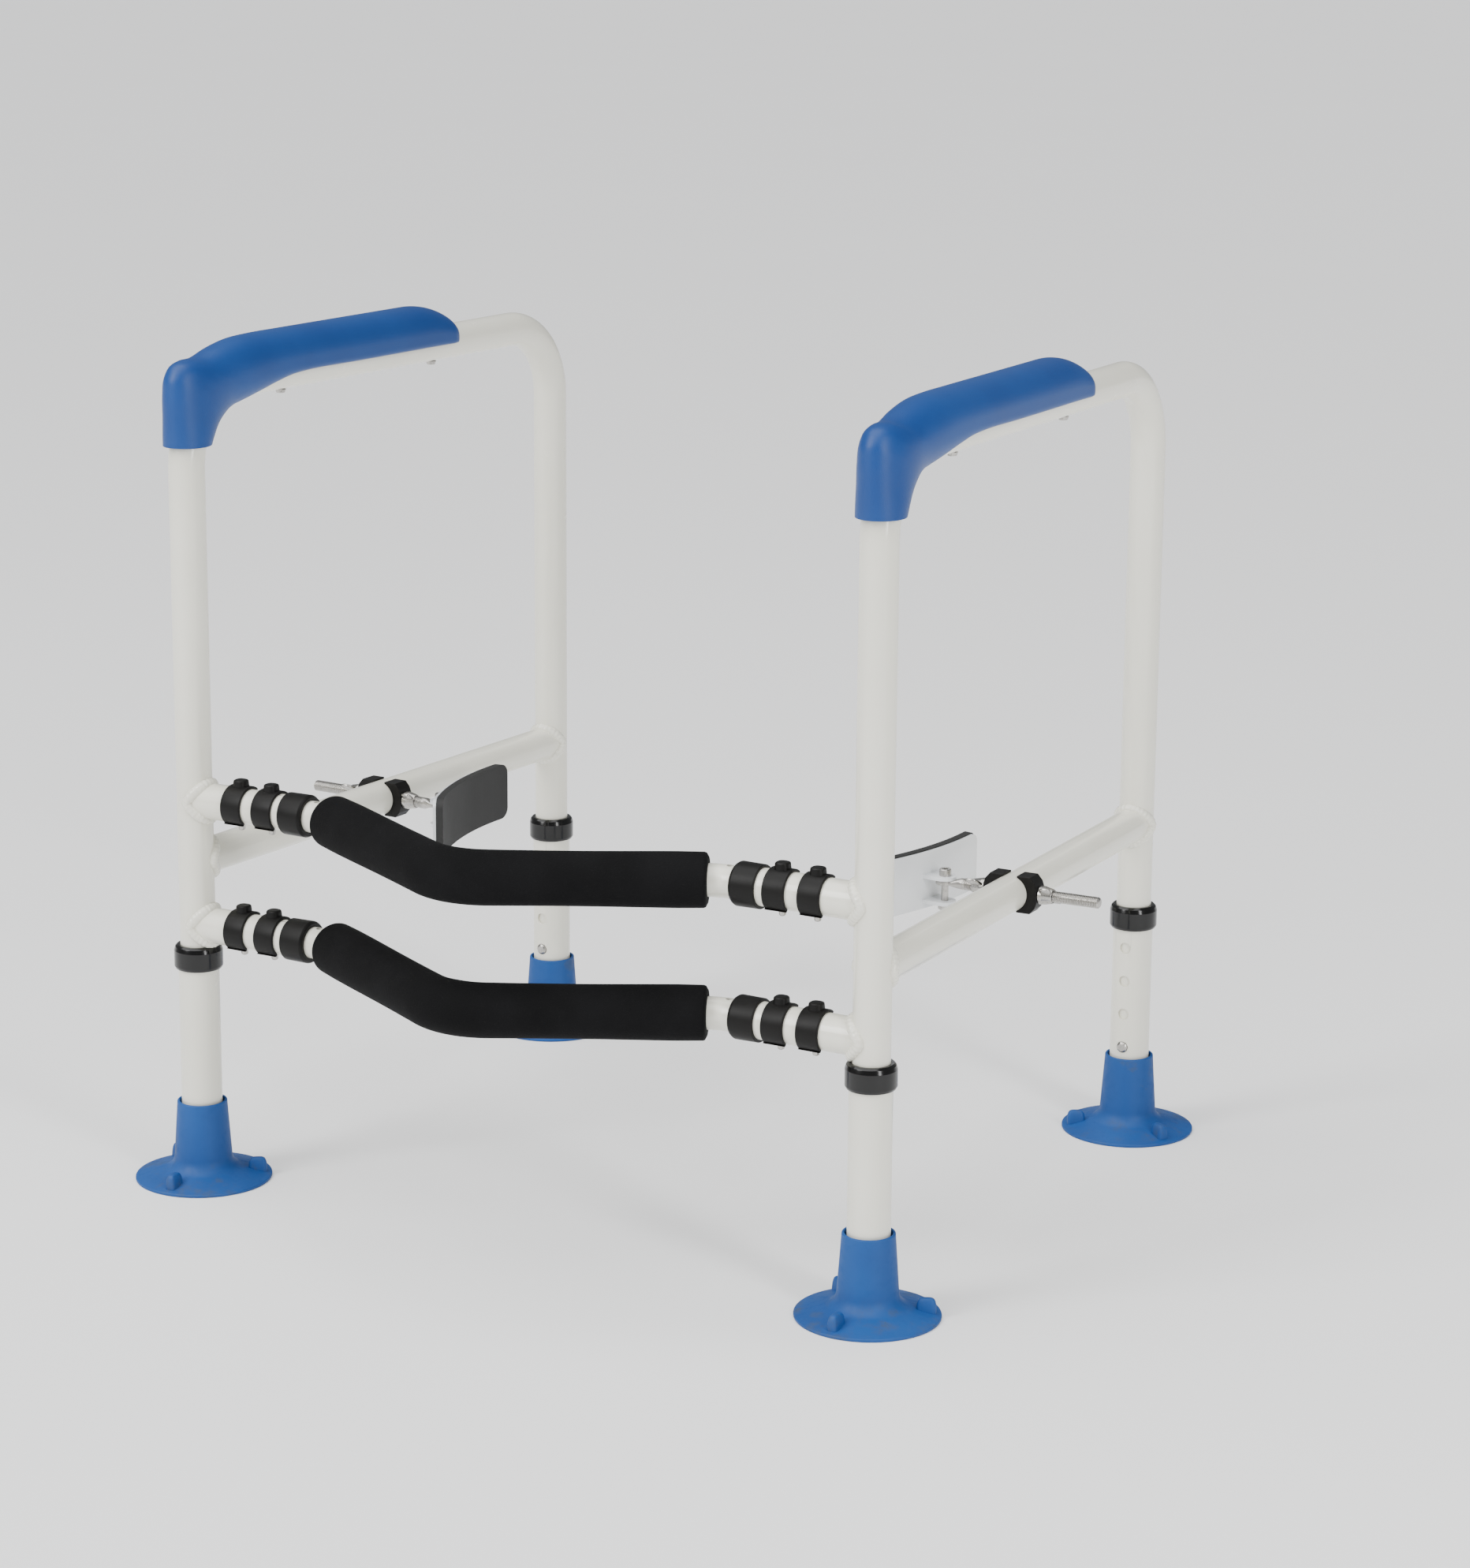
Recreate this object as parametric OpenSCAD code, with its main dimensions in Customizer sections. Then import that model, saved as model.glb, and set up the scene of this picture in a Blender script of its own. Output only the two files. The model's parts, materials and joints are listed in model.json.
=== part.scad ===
// Toilet safety frame: two bent side frames on telescopic legs, joined in front of the bowl
// by two bowed bars in foam sleeves. A screw clamp on each side rail presses on the bowl.
// Origin: floor level, middle of the frame's outer box. X to the user's right hand side
// as seen from the front, Y towards the wall behind the toilet, Z up.

/* [Frame] */
// Distance between the axes of the two front legs
front_spacing = 540; // [500:1:620]
// Distance between the front and rear leg axes, along one side
side_depth = 444; // [380:1:520]
// Angle that each side turns in towards its rear leg
toe_in = 2; // [0:0.5:4]
// Height of the armrest tube's axis with the legs at their lowest hole
top_z = 569.5; // [500:0.5:640]
// Centre line radius of the armrest tube's two bends
top_bend = 56; // [45:1:80]
// Outer diameter of the frame tube
tube_d = 25.4; // [22:0.1:28]
// Wall of every frame tube
tube_wall = 1.6; // [1.2:0.1:2]
// Height of the side rail's axis
rail_z = 235.6; // [215:0.1:255]

/* [Legs] */
// Outer diameter of the lower leg tube's bore
leg_bore_d = 25.6; // [25.5:0.05:25.8]
// Wall of the lower leg tube
leg_wall = 1.7; // [1.2:0.1:2.5]
// Height of the lower leg tube's bottom end inside the foot
leg_low_z = 9; // [7:0.5:12]
// Height of the lower leg tube's top end
leg_top_z = 170; // [160:1:185]
// Height of the lowest adjustment hole
hole_z = 66.6; // [64:0.1:80]
// Distance between adjustment holes
hole_pitch = 25.4; // [20:0.1:26]
// Number of adjustment holes
hole_count = 4; // [2:1:4]
// Diameter of the adjustment holes
hole_d = 8.4; // [6:0.1:10]
// Diameter of the snap button
button_d = 8; // [5:0.1:9]
// Height of the button above the leg tube's surface
button_proud = 1.5; // [0.5:0.1:2.5]
// Length of the leg collar
collar_l = 17.5; // [14:0.5:24]
// Outer diameter of the leg collar at its widest
collar_d = 34.6; // [32:0.1:40]

/* [Feet] */
// Diameter of the foot on the floor
foot_d = 97.5; // [84:0.5:120]
// Height of the foot's neck
foot_h = 58; // [45:1:60]
// Diameter of the neck at its top
neck_top_d = 35.5; // [33:0.5:40]
// Diameter of the neck at its bottom
neck_low_d = 41.4; // [38:0.1:48]
// Height of the cone where it meets the neck
cone_h = 9; // [6:0.5:14]
// Thickness of the foot's rim
rim_h = 2; // [1.5:0.1:4]
// Width of the lifting tabs on the foot
tab_w = 8; // [5:0.5:12]

/* [Front bars] */
// Outer diameter of the bowed bars
bar_d = 22.2; // [20:0.1:24]
// Height of the lower bar's axis
bar_low_z = 189; // [184:0.5:200]
// Distance between the two bars
bar_gap = 90.5; // [80:0.5:120]
// Distance from the middle of the frame to the bars' outer bends
bend_x = 156; // [150:0.5:160]
// Angle of the bowed part from the sockets' direction
bow_angle = 29; // [15:1:35]
// Centre line radius of the bars' middle bend
bow_r = 50; // [40:1:90]
// Centre line radius of the bars' outer bends
bend_r = 38; // [30:1:45]
// Outer diameter of the foam sleeves
foam_d = 36.8; // [30:0.2:44]
// Angle of the outer bend that the foam leaves bare
foam_bare = 25; // [12:1:27]

/* [Sockets] */
// Distance from the middle of the frame to the sockets' mouths
socket_x = 170; // [168:0.5:176]
// Length of the collar on the socket's mouth
socket_collar_l = 19; // [14:0.5:22]
// Outer diameter of that collar
socket_collar_d = 30; // [28:0.2:36]
// Distance between the two pins of a socket
pin_pitch = 26; // [24:0.5:26]
// Distance from the middle of the frame to the inner pin
pin_x = 203.3; // [203:0.1:206]
// Diameter of the pins
pin_d = 4.8; // [4:0.1:5]
// Distance between the width holes in the bars
width_pitch = 6.5; // [6:0.1:8]
// Width of a retaining clip's band
clip_w = 16.5; // [12:0.5:20]
// Thickness of the clip's band
clip_t = 2; // [1.5:0.1:3]

/* [Armrest grips] */
// Outer diameter of the sleeve on the front leg
sleeve_d = 33; // [30:0.5:36]
// Height of the sleeve's bottom below the armrest tube's axis
sleeve_drop = 41.5; // [30:0.5:50]
// Width of the pad
pad_w = 41.4; // [36:0.2:56]
// Height of the pad's crest above the armrest tube's axis
pad_rise = 30.5; // [24:0.5:36]
// Distance of the pad's rear end behind the front leg axis
pad_end = 306; // [250:1:310]
// Length of the rounded rear end
pad_nose = 50; // [30:1:60]
// Diameter of the grip screws
screw_d = 4; // [3:0.1:5]

/* [Bowl clamps] */
// Thread diameter of the clamp rod
rod_d = 8; // [6:0.5:8]
// Distance of the rod's free end outside the rail axis
rod_out = 65; // [50:1:80]
// Distance of the swivel bolt inside the rail axis
rod_in = 52; // [50:1:60]
// Length of the clamp plate
plate_l = 124; // [100:1:140]
// Height of the clamp plate
plate_h = 40; // [34:1:50]
// Radius to which the plate is curved
plate_r = 250; // [180:5:400]
// Thickness of the plate
plate_t = 2.5; // [2:0.1:4]
// Thickness of the rubber pad on the plate
rubber_t = 5.5; // [3:0.5:8]
// Swivel of the plate on its bolt
swivel = 13; // [0:1:20]
// Diameter of the swivel bolt
bolt_d = 5; // [4:0.5:6]

/* [Hidden] */
$fn = 64;
slip = 0.05;
running = 0.1;
screw_clearance = 0.2;
rod_clearance = 0.3;
cut = 1;

tube_r = tube_d / 2;
tube_bore_r = tube_r - tube_wall;
leg_bore_r = leg_bore_d / 2;
leg_r = leg_bore_r + leg_wall;
inner_low_z = 40;
foam_r = foam_d / 2;
bar_r = bar_d / 2;
bar_wall = 1.5;
bar_bore_r = bar_r - bar_wall;

// bowed bar: straight ends, outer bends, slanted stretches, middle bend
bend_tangent = bend_r * tan(bow_angle / 2);
outer_x = bend_x + bend_tangent;
hair = 0.04;
core_relief = 0.06;
slant = bend_x / cos(bow_angle) - bend_tangent - bow_r * tan(bow_angle);
bow_depth = bend_x * tan(bow_angle) - bow_r * (1 / cos(bow_angle) - 1);
bar_upper_z = bar_low_z + bar_gap;

// the outer box's middle lies at y = 0
front_reach = bow_depth + foam_r;
rear_reach = side_depth * cos(toe_in) + foot_d / 2;
front_y = (front_reach - rear_reach) / 2;
leg_x = front_spacing / 2;
bar_end_gap = 4.6;
bar_end_x = leg_x - tube_r - bar_end_gap;

socket_bore_r = bar_r + running;
socket_r = tube_r;
lip_t = 1.5;
clip_r = socket_r + running;
clip_from = 50;
clip_to = 232;
lip_l = 2.5;
boss_d = 10.5;
boss_h = 6.5;
pin_tip_z = -15;
hole_steps = 7;

collar_bottom_z = leg_top_z + 4 - collar_l;
collar_chamfer = 4;

fillet_r = 9;
tab_r = 39;
tab_l = 12;
tab_h = 13;
tab_turns = [27, 147, 267];

pad_corner_r = 14;
grip_screw_s = [106, 287];
screw_head_d = 8;
screw_head_h = 2.6;

saddle_w = 14;
saddle_half_h = 13;
saddle_x0 = 5;
saddle_x1 = 20;
nut_l = 10;
hub_d = 13;
wing_r = 15;
wing_t = 3;
eye_t = 3.2;
eye_r = 6.5;
neck_l = 12;
ear_t = 2.5;
ear_w = 20;
ear_low_z = -14.6;
ear_gap = 0.3;
plate_gap = 12;
corner_r = 7;
sheet_facets = 256;
bolt_head_d = 8.5;
bolt_head_h = 5;
nut_h = 4;
nut_across = 8;

// ---- places ----

// puts right-hand geometry on the right or, mirrored, on the left
module on_side(side) {
  mirror([side == "left" ? 1 : 0, 0, 0])
    children();
}

// one side's own frame: origin at the front leg axis, Y along the side
module in_side(side) {
  on_side(side)
    translate([leg_x, front_y, 0])
      rotate([0, 0, toe_in])
        children();
}

// one leg's own frame: Y points from this leg towards the other leg of its side
module at_leg(side, place) {
  in_side(side)
    translate([0, place == "rear" ? side_depth : 0, 0])
      mirror([0, place == "rear" ? 1 : 0, 0])
        children();
}

// the clamp's own frame: origin on the rail axis, X outwards along the rod
module at_clamp(side) {
  in_side(side)
    translate([0, side_depth / 2, rail_z])
      children();
}

// the clamp plate's own frame: origin on the swivel bolt
module at_plate(side) {
  at_clamp(side)
    translate([-rod_in, 0, 0])
      rotate([0, 0, -swivel])
        children();
}

// ---- shapes ----

module along_x(l, r) {
  rotate([0, 90, 0])
    cylinder(h = l, r = r);
}

module along_y(l, r) {
  rotate([-90, 0, 0])
    cylinder(h = l, r = r);
}

module ring(h, r, bore_r) {
  difference() {
    cylinder(h = h, r = r);
    translate([0, 0, -cut])
      cylinder(h = h + 2 * cut, r = bore_r);
  }
}

// quarter bend in the YZ plane from angle a0 to a0 + 90 about its own centre
module quarter_bend(a0, r) {
  rotate([90, 0, 90])
    rotate([0, 0, a0])
      rotate_extrude(angle = 90)
        translate([top_bend, 0])
          circle(r = r);
}

// solid of radius r along both uprights and the armrest tube's line
module upright_path(r, low_z) {
  rise = top_z - top_bend;
  for (s = [0, side_depth])
    translate([0, s, low_z])
      cylinder(h = rise - low_z, r = r);
  translate([0, top_bend, rise])
    quarter_bend(90, r);
  translate([0, side_depth - top_bend, rise])
    quarter_bend(0, r);
  translate([0, top_bend, top_z])
    along_y(side_depth - 2 * top_bend, r);
}

// slanted stretch of a bowed line; a core a hair thinner runs on into the bends and ties them to it
module slanted_stretch(r) {
  translate([hair, 0, 0])
    along_x(slant - 2 * hair, r);
  translate([-1, 0, 0])
    along_x(slant + 2, r - core_relief);
}

// bowed line with straight ends out to straight_x; the outer bends start after the bare angle
module bow_path(r, straight_x, bare) {
  translate([0, bow_r - bow_depth, 0])
    rotate([0, 0, -90 - bow_angle])
      rotate_extrude(angle = 2 * bow_angle)
        translate([bow_r, 0])
          circle(r = r);
  for (m = [0, 1])
    mirror([m, 0, 0]) {
      translate([0, bow_r - bow_depth, 0])
        rotate([0, 0, bow_angle])
          translate([0, -bow_r, 0])
            slanted_stretch(r);
      translate([outer_x, -bend_r, 0])
        rotate([0, 0, 90 + bare])
          rotate_extrude(angle = bow_angle - bare)
            translate([bend_r, 0])
              circle(r = r);
      if (straight_x > 0)
        translate([outer_x, 0, 0])
          along_x(straight_x - outer_x, r);
    }
}

function bar_z(level) = level == "upper" ? bar_upper_z : bar_low_z;

// ---- side frames ----

module side_tube(side) {
  color("ivory")
    in_side(side)
      difference() {
        upright_path(tube_r, inner_low_z);
        upright_path(tube_bore_r, inner_low_z - cut);
        // button holes near the uprights' lower ends
        translate([0, 0, hole_z])
          along_y(tube_d, hole_d / 2);
        translate([0, side_depth - tube_d, hole_z])
          along_y(tube_d, hole_d / 2);
        // grip screw holes under and over the armrest tube
        for (s = grip_screw_s)
          translate([0, s, top_z - tube_d])
            cylinder(h = 2 * tube_d, r = screw_d / 2 + screw_clearance);
      }
}

module side_rail(side) {
  color("ivory")
    in_side(side)
      difference() {
        translate([0, 0, rail_z])
          along_y(side_depth, tube_r);
        translate([0, -cut, rail_z])
          along_y(side_depth + 2 * cut, tube_bore_r);
        for (s = [0, side_depth])
          translate([0, s, 0])
            cylinder(h = 2 * rail_z, r = tube_r);
        translate([-tube_d, side_depth / 2, rail_z])
          along_x(2 * tube_d, rod_d / 2 + rod_clearance);
      }
}

module bar_sockets(side) {
  start = socket_x + lip_t;
  color("ivory")
    on_side(side)
      for (level = ["upper", "lower"])
        difference() {
          translate([start, front_y, bar_z(level)])
            along_x(leg_x - start, socket_r);
          translate([start - cut, front_y, bar_z(level)])
            along_x(leg_x - start + 2 * cut, socket_bore_r);
          translate([leg_x, front_y, 0])
            cylinder(h = 2 * bar_z(level), r = tube_r);
          for (i = [0, 1])
            translate([pin_x + i * pin_pitch, front_y, bar_z(level) - tube_d])
              cylinder(h = 2 * tube_d, r = pin_d / 2 + running);
        }
}

module socket_collars(side) {
  color("#1b1b1b")
    on_side(side)
      for (level = ["upper", "lower"])
        translate([socket_x, front_y, bar_z(level)])
          rotate([0, 90, 0]) {
            ring(lip_t, socket_collar_d / 2 - 1, socket_bore_r);
            translate([0, 0, lip_t])
              ring(socket_collar_l - lip_t, socket_collar_d / 2, socket_r + slip);
          }
}

// ---- armrests ----

// side view of the grip: sleeve, knob, crest, rounded rear end and the web under the bend
module grip_outline() {
  low = top_z - sleeve_drop;
  crest = top_z + pad_rise;
  knob = crest - 13;
  under = top_z + 0.5;
  front = -sleeve_d / 2;
  nose = [for (a = [90:-10:0])
    [pad_end - pad_nose + pad_nose * cos(a), under + (crest - under) * sin(a)]];
  web_r = top_bend - sleeve_d / 2;
  web_from = asin((low - top_z + top_bend) / web_r);
  web = [for (i = [5:-1:0]) let (a = web_from + (80 - web_from) * i / 5)
    [top_bend - web_r * cos(a), top_z - top_bend + web_r * sin(a)]];
  polygon(concat(
    [[front, low], [front, knob - 12]],
    [for (a = [165:-15:90]) [front + 12 + 12 * cos(a), knob - 12 + 12 * sin(a)]],
    [[15, knob + 1], [42, crest - 3.5], [60, crest - 1], [80, crest]],
    nose,
    [[110, under], [93, under - 4], [76, under - 10]],
    web
  ));
}

// top view of the grip: round front that widens to the pad, rounded rear corners
module grip_plan() {
  r = sleeve_d / 2;
  w = pad_w / 2;
  c = pad_corner_r;
  half = concat(
    [for (a = [-90:15:0]) [r * cos(a), r * sin(a)]],
    [[w - 1, 45], [w, 70]],
    [for (a = [0:15:90]) [w - c + c * cos(a), pad_end - c + c * sin(a)]]
  );
  polygon(concat(half, [for (i = [len(half) - 1 : -1 : 1]) [-half[i][0], half[i][1]]]));
}

module armrest_grip(side) {
  crest = top_z + pad_rise;
  w = pad_w / 2;
  color("#2f6fb0")
    in_side(side)
      difference() {
        intersection() {
          translate([-pad_w, 0, 0])
            rotate([90, 0, 90])
              linear_extrude(2 * pad_w)
                grip_outline();
          translate([0, 0, top_z - 2 * sleeve_drop])
            linear_extrude(4 * sleeve_drop)
              grip_plan();
          union() {
            translate([0, -pad_w, crest - w])
              along_y(pad_end + 2 * pad_w, w);
            translate([-w, -pad_w, top_z - 2 * sleeve_drop])
              cube([pad_w, pad_end + 2 * pad_w, pad_rise - w + 2 * sleeve_drop]);
          }
        }
        upright_path(tube_r + slip, top_z - 2 * sleeve_drop);
        for (s = grip_screw_s)
          translate([0, s, top_z - tube_r])
            cylinder(h = tube_d + 7, r = screw_d / 2 + slip);
      }
}

module grip_screws(side) {
  head_z = top_z - tube_r - screw_head_h;
  color("silver")
    in_side(side)
      for (s = grip_screw_s)
        translate([0, s, head_z]) {
          cylinder(h = screw_head_h - 0.1, r1 = screw_head_d / 2 - 1, r2 = screw_head_d / 2);
          cylinder(h = screw_head_h + tube_d + 6, r = screw_d / 2);
        }
}

// ---- legs ----

module leg_tube(side, place) {
  color("ivory")
    at_leg(side, place)
      difference() {
        translate([0, 0, leg_low_z])
          ring(leg_top_z - leg_low_z, leg_r, leg_bore_r);
        for (i = [0 : hole_count - 1])
          translate([0, 0, hole_z + i * hole_pitch])
            along_y(leg_r + cut, hole_d / 2);
      }
}

module leg_collar(side, place) {
  top_z0 = leg_top_z + 4;
  color("#141414")
    at_leg(side, place)
      difference() {
        rotate_extrude()
          polygon([
            [leg_bore_r, collar_bottom_z],
            [collar_d / 2 - 0.8, collar_bottom_z],
            [collar_d / 2, collar_bottom_z + 2],
            [collar_d / 2, top_z0 - collar_chamfer],
            [collar_d / 2 - 1, top_z0 - 1.2],
            [collar_d / 2 - 3, top_z0],
            [leg_bore_r, top_z0]
          ]);
        translate([0, 0, collar_bottom_z - cut])
          cylinder(h = leg_top_z + slip - collar_bottom_z + cut, r = leg_r + slip);
      }
}

module foot(side, place) {
  rim_r = foot_d / 2;
  low_r = neck_low_d / 2;
  fillet_x = low_r + fillet_r;
  fillet_z = cone_h + fillet_r;
  color("#2c6a9c")
    at_leg(side, place)
      difference() {
        union() {
          rotate_extrude()
            polygon(concat(
              [[0, 0], [rim_r, 0], [rim_r, rim_h]],
              [for (a = [270:-15:180]) [fillet_x + fillet_r * cos(a), fillet_z + fillet_r * sin(a)]],
              [[neck_top_d / 2, foot_h - 1], [neck_top_d / 2 - 1, foot_h], [0, foot_h]]
            ));
          // lifting tabs on the cone
          for (a = tab_turns)
            rotate([0, 0, a])
              translate([tab_r, 0, tab_h / 2])
                cube([tab_l, tab_w, tab_h], center = true);
        }
        translate([0, 0, leg_low_z])
          cylinder(h = foot_h, r = leg_r + slip);
        // shallow hollow that leaves a flat ring on the floor
        translate([0, 0, -cut])
          cylinder(h = cut + 1.2, r = rim_r - 9);
      }
}

// folded spring strip inside the upright with the button on it
module snap_button(side, place) {
  strip_w = 11;
  strip_t = 0.9;
  seat = 9.2;
  low = -10;
  high = 24;
  turn = 1.6;
  reach = leg_r + button_proud;
  color("silver")
    at_leg(side, place)
      translate([0, 0, hole_z]) {
        rotate([90, 0, 90])
          translate([0, 0, -strip_w / 2])
            linear_extrude(strip_w)
              polygon([
                [seat, low], [turn, high], [-turn, high], [-seat, low],
                [strip_t - seat, low], [0, high - 2 * turn], [seat - strip_t, low]
              ]);
        rotate([-90, 0, 0])
          rotate_extrude()
            polygon([[0, 5], [button_d / 2, 5], [button_d / 2, reach - 1], [button_d / 2 - 1.2, reach], [0, reach]]);
      }
}

// ---- front bars ----

module bowed_bar(level) {
  color("ivory")
    translate([0, front_y, bar_z(level)])
      difference() {
        bow_path(bar_r, bar_end_x, 0);
        bow_path(bar_bore_r, bar_end_x + cut, 0);
        for (m = [0, 1])
          mirror([m, 0, 0]) {
            for (i = [0 : hole_steps])
              translate([pin_x + i * width_pitch, 0, -bar_d])
                cylinder(h = 2 * bar_d, r = pin_d / 2 + running);
            translate([pin_x - 6 * width_pitch, 0, 0])
              cylinder(h = bar_d, r = pin_d / 2 + running);
          }
      }
}

module foam_sleeve(level) {
  color("#151515")
    translate([0, front_y, bar_z(level)])
      difference() {
        bow_path(foam_r, 0, foam_bare);
        bow_path(bar_r + slip, bar_end_x, 0);
      }
}

// a band that snaps round the socket's front, with a boss that carries the pin
module clip(side, level, index) {
  color("#202020")
    on_side(side)
      translate([pin_x + index * pin_pitch, front_y, bar_z(level)])
        difference() {
          union() {
            rotate([90, 0, 90])
              translate([0, 0, -clip_w / 2]) {
                rotate([0, 0, clip_from])
                  rotate_extrude(angle = clip_to - clip_from)
                    translate([clip_r, 0])
                      square([clip_t, clip_w]);
                rotate([0, 0, clip_to])
                  translate([clip_r, -clip_t / 2, 0])
                    cube([lip_l, clip_t, clip_w]);
              }
            translate([0, 0, socket_r + 0.5])
              cylinder(h = boss_h - 1.5, r = boss_d / 2);
            translate([0, 0, socket_r + boss_h - 1])
              cylinder(h = 1, r1 = boss_d / 2, r2 = boss_d / 2 - 1);
          }
          translate([0, 0, -cut])
            cylinder(h = socket_r + boss_h - 1, r = pin_d / 2 + slip);
        }
}

module pin(side, level, index) {
  color("silver")
    on_side(side)
      translate([pin_x + index * pin_pitch, front_y, bar_z(level) + pin_tip_z]) {
        cylinder(h = socket_r + boss_h - 2.2 - pin_tip_z, r = pin_d / 2);
        sphere(r = pin_d / 2);
      }
}

// ---- bowl clamps ----

module clamp_rod(side) {
  color("silver")
    at_clamp(side) {
      translate([neck_l - rod_in, 0, 0])
        along_x(rod_out + rod_in - neck_l - 1, rod_d / 2);
      translate([rod_out - 1, 0, 0])
        rotate([0, 90, 0])
          cylinder(h = 1, r1 = rod_d / 2, r2 = rod_d / 2 - 1);
      difference() {
        translate([-rod_in, -rod_d / 2, -eye_t / 2])
          cube([neck_l + 1, rod_d, eye_t]);
        translate([-rod_in, 0, -eye_t])
          cylinder(h = 2 * eye_t, r = bolt_d / 2 + running);
      }
      translate([-rod_in, 0, -eye_t / 2])
        ring(eye_t, eye_r, bolt_d / 2 + running);
    }
}

// wing nuts face each other across the rail
module wing_nuts(side) {
  color("silver")
    at_clamp(side)
      for (m = [0, 1])
        mirror([m, 0, 0])
          translate([saddle_x1 + 0.2, 0, 0])
            difference() {
              union() {
                rotate([0, 90, 0])
                  cylinder(h = nut_l, r1 = hub_d / 2, r2 = hub_d / 2 - 1.5);
                translate([3, -wing_t / 2, -wing_r])
                  cube([5, wing_t, 2 * wing_r]);
                for (z = [-1, 1])
                  translate([8, 0, z * (wing_r - 4.5)])
                    rotate([90, 0, 0])
                      translate([0, 0, -wing_t / 2])
                        cylinder(h = wing_t, r = 4.5);
              }
              translate([-cut, 0, 0])
                along_x(nut_l + 2 * cut, rod_d / 2 + slip);
            }
}

module saddle_washers(side) {
  color("#181818")
    at_clamp(side)
      for (m = [0, 1])
        mirror([m, 0, 0])
          difference() {
            translate([0, saddle_w / 2, 0])
              rotate([90, 0, 0])
                linear_extrude(saddle_w)
                  polygon([
                    [saddle_x0, -saddle_half_h],
                    [saddle_x1 - 5, -saddle_half_h],
                    [saddle_x1 - 1.5, -saddle_half_h + 4],
                    [saddle_x1, -5],
                    [saddle_x1, 5],
                    [saddle_x1 - 1.5, saddle_half_h - 4],
                    [saddle_x1 - 5, saddle_half_h],
                    [saddle_x0, saddle_half_h]
                  ]);
            translate([0, -saddle_w, 0])
              along_y(2 * saddle_w, tube_r + slip);
            along_x(2 * saddle_x1, rod_d / 2 + rod_clearance);
          }
}

// rounded rectangle seen along X, centred on the plate's middle height
module plate_window(l, h, r) {
  translate([-plate_gap - plate_r, 0, 0])
    rotate([90, 0, 90])
      linear_extrude(2 * plate_r)
        union() {
          square([l - 2 * r, h], center = true);
          square([l, h - 2 * r], center = true);
          for (x = [-1, 1])
            for (y = [-1, 1])
              translate([x * (l / 2 - r), y * (h / 2 - r)])
                circle(r = r);
        }
}

// curved sheet whose outer face is plate_gap from the bolt
module curved_sheet(outer_r, t, l, h, r) {
  intersection() {
    translate([-plate_gap - plate_r, 0, -h / 2])
      difference() {
        cylinder(h = h, r = outer_r, $fn = sheet_facets);
        translate([0, 0, -cut])
          cylinder(h = h + 2 * cut, r = outer_r - t, $fn = sheet_facets);
      }
    plate_window(l, h, r);
  }
}

module ear() {
  linear_extrude(ear_t)
    difference() {
      union() {
        circle(r = eye_r + 1.5);
        polygon([[-plate_gap - 1, -ear_w / 2], [-plate_gap - 1, ear_w / 2], [0, eye_r + 1.5], [0, -eye_r - 1.5]]);
      }
      circle(r = bolt_d / 2 + running);
    }
}

module clamp_plate(side) {
  color("white")
    at_plate(side) {
      curved_sheet(plate_r, plate_t, plate_l, plate_h, corner_r);
      translate([0, 0, eye_t / 2 + ear_gap])
        ear();
      translate([0, 0, ear_low_z - ear_t / 2])
        ear();
    }
}

module clamp_pad(side) {
  color("#101010")
    at_plate(side)
      curved_sheet(plate_r - plate_t, rubber_t, plate_l + 2, plate_h + 2, corner_r + 1);
}

// bolt with its round head above the upper ear and its nut under the lower one
module swivel_bolt(side) {
  top = eye_t / 2 + ear_gap + ear_t;
  low = ear_low_z - ear_t / 2;
  color("silver")
    at_clamp(side)
      translate([-rod_in, 0, 0]) {
        translate([0, 0, low - nut_h - 2])
          cylinder(h = top - low + nut_h + 2 + bolt_head_h / 2, r = bolt_d / 2);
        translate([0, 0, top + slip])
          cylinder(h = bolt_head_h, r = bolt_head_d / 2);
        translate([0, 0, low - nut_h - slip])
          cylinder(h = nut_h, r = nut_across / 2 / cos(30), $fn = 6);
      }
}

side_tube("left");  // side_tube_left
side_tube("right");  // side_tube_right
side_rail("left");  // side_rail_left
side_rail("right");  // side_rail_right
bar_sockets("left");  // bar_sockets_left
bar_sockets("right");  // bar_sockets_right
socket_collars("left");  // socket_collars_left
socket_collars("right");  // socket_collars_right
armrest_grip("left");  // armrest_grip_left
armrest_grip("right");  // armrest_grip_right
grip_screws("left");  // grip_screws_left
grip_screws("right");  // grip_screws_right
leg_tube("left", "front");  // leg_tube_front_left
leg_tube("right", "front");  // leg_tube_front_right
leg_tube("left", "rear");  // leg_tube_rear_left
leg_tube("right", "rear");  // leg_tube_rear_right
leg_collar("left", "front");  // leg_collar_front_left
leg_collar("right", "front");  // leg_collar_front_right
leg_collar("left", "rear");  // leg_collar_rear_left
leg_collar("right", "rear");  // leg_collar_rear_right
foot("left", "front");  // foot_front_left
foot("right", "front");  // foot_front_right
foot("left", "rear");  // foot_rear_left
foot("right", "rear");  // foot_rear_right
snap_button("left", "front");  // snap_button_front_left
snap_button("right", "front");  // snap_button_front_right
snap_button("left", "rear");  // snap_button_rear_left
snap_button("right", "rear");  // snap_button_rear_right
bowed_bar("upper");  // upper_bar
bowed_bar("lower");  // lower_bar
foam_sleeve("upper");  // upper_foam
foam_sleeve("lower");  // lower_foam
clip("left", "upper", 0);  // clip_upper_inner_left
clip("left", "upper", 1);  // clip_upper_outer_left
clip("left", "lower", 0);  // clip_lower_inner_left
clip("left", "lower", 1);  // clip_lower_outer_left
clip("right", "upper", 0);  // clip_upper_inner_right
clip("right", "upper", 1);  // clip_upper_outer_right
clip("right", "lower", 0);  // clip_lower_inner_right
clip("right", "lower", 1);  // clip_lower_outer_right
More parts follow.
